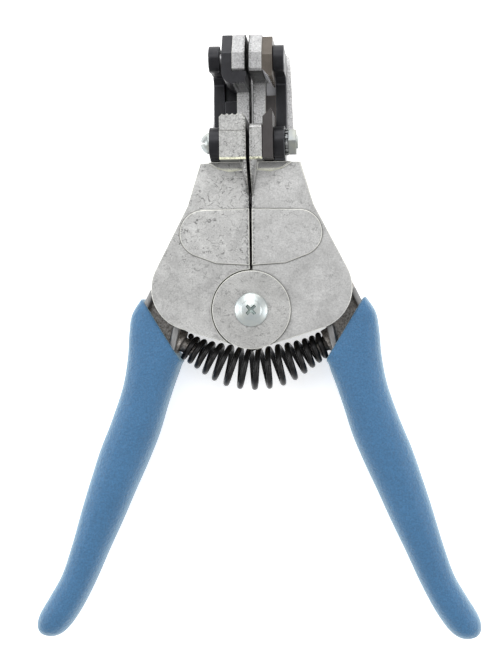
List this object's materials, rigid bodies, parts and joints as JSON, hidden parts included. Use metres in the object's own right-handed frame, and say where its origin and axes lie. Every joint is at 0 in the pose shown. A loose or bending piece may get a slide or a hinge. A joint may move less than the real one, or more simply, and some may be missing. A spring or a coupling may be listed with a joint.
{
  "type": "automatic wire stripper",
  "caption": "Hand tool that clamps a wire and pulls off its insulation: hinged frame halves with fixed and sliding jaws, sprung handles with dipped grips, and notched stripping blades.",
  "frame": {"origin": "on the main pivot's axis, at the outer face of the back plates, on which the tool lies", "axes": "+X to the right half, +Y from the handles towards the jaws, +Z out of the front plates"},
  "size_m": [0.1368, 0.1819, 0.032],
  "materials": {
    "zinc_casting": "bare die-cast zinc, dull, with flow marks",
    "zinc_arm": "bare die-cast zinc, lightly tumbled",
    "handle_casting": "rough dark casting with lighter rib edges",
    "blue_vinyl": "dipped soft vinyl, matt with fine orange peel",
    "black_oxide": "black oxide steel, satin",
    "brown_oxide": "brown oxide blade steel, ground bevels",
    "zinc_plate": "bright zinc plated steel, slight iridescence",
    "spring_steel": "black spring wire, semi-gloss",
    "pin_steel": "plain ground steel",
    "bush_bronze": "sintered bronze, dull"
  },
  "bodies": {
    "right_frame": {"right_front_plate": "zinc_casting", "right_back_plate": "zinc_casting", "right_plate_screws": "zinc_plate", "pivot_screw": "zinc_plate", "pivot_bush": "bush_bronze", "pivot_nut": "zinc_plate", "right_handle_pin": "pin_steel", "lower_blade": "brown_oxide", "lower_blade_clamp": "black_oxide", "clamp_stud": "zinc_plate", "lock_washer": "zinc_plate", "clamp_nut": "zinc_plate", "halves_spring": "pin_steel"},
    "left_frame": {"left_front_plate": "zinc_casting", "left_back_plate": "zinc_casting", "left_plate_screws": "zinc_plate", "left_handle_pin": "pin_steel", "left_clamp": "black_oxide", "left_clamp_screw": "zinc_plate"},
    "right_jaw": {"right_jaw_arm": "zinc_arm", "upper_blade": "brown_oxide", "right_side_bar": "black_oxide", "right_jaw_spacer": "brown_oxide", "right_jaw_pin": "pin_steel"},
    "left_jaw": {"left_jaw_arm": "zinc_arm", "upper_gripper": "black_oxide", "left_side_bar": "black_oxide", "left_jaw_spacer": "black_oxide", "left_jaw_pin": "pin_steel"},
    "right_handle": {"right_handle": "handle_casting", "right_grip": "blue_vinyl", "right_drive_pin": "pin_steel", "handle_spring": "spring_steel"},
    "left_handle": {"left_handle": "handle_casting", "left_grip": "blue_vinyl", "left_drive_pin": "pin_steel"}
  },
  "joints": [
    {"name": "left_frame_swing", "type": "hinge", "parent": "right_frame", "child": "left_frame", "pos_m": [0, 0, 0.011], "axis": [0, 0, 1], "range_deg": [0, 10], "stiffness_Nm_per_rad": 1, "springref_deg": -5.73, "deforming": ["halves_spring", "handle_spring"]},
    {"name": "right_handle_squeeze", "type": "hinge", "parent": "right_frame", "child": "right_handle", "pos_m": [0.0068, 0.007, 0.011], "axis": [0, 0, -1], "range_deg": [0, 23.55], "stiffness_Nm_per_rad": 1, "springref_deg": -11.46, "deforming": ["handle_spring"]},
    {"name": "left_handle_squeeze", "type": "hinge", "parent": "left_frame", "child": "left_handle", "pos_m": [-0.0068, 0.007, 0.011], "axis": [0, 0, 1], "range_deg": [0, 23.55], "stiffness_Nm_per_rad": 1, "springref_deg": -11.46, "deforming": ["handle_spring"]},
    {"name": "right_jaw_close", "type": "slide", "parent": "right_frame", "child": "right_jaw", "axis": [0, -1, 0], "range_m": [0, 0.008]},
    {"name": "left_jaw_close", "type": "slide", "parent": "left_frame", "child": "left_jaw", "axis": [0, -1, 0], "range_m": [0, 0.008]}
  ],
  "couplings": [
    {"joint": "right_jaw_close", "follows": "right_handle_squeeze", "m_per_rad": 0.01946},
    {"joint": "left_jaw_close", "follows": "left_handle_squeeze", "m_per_rad": 0.01946}
  ]
}
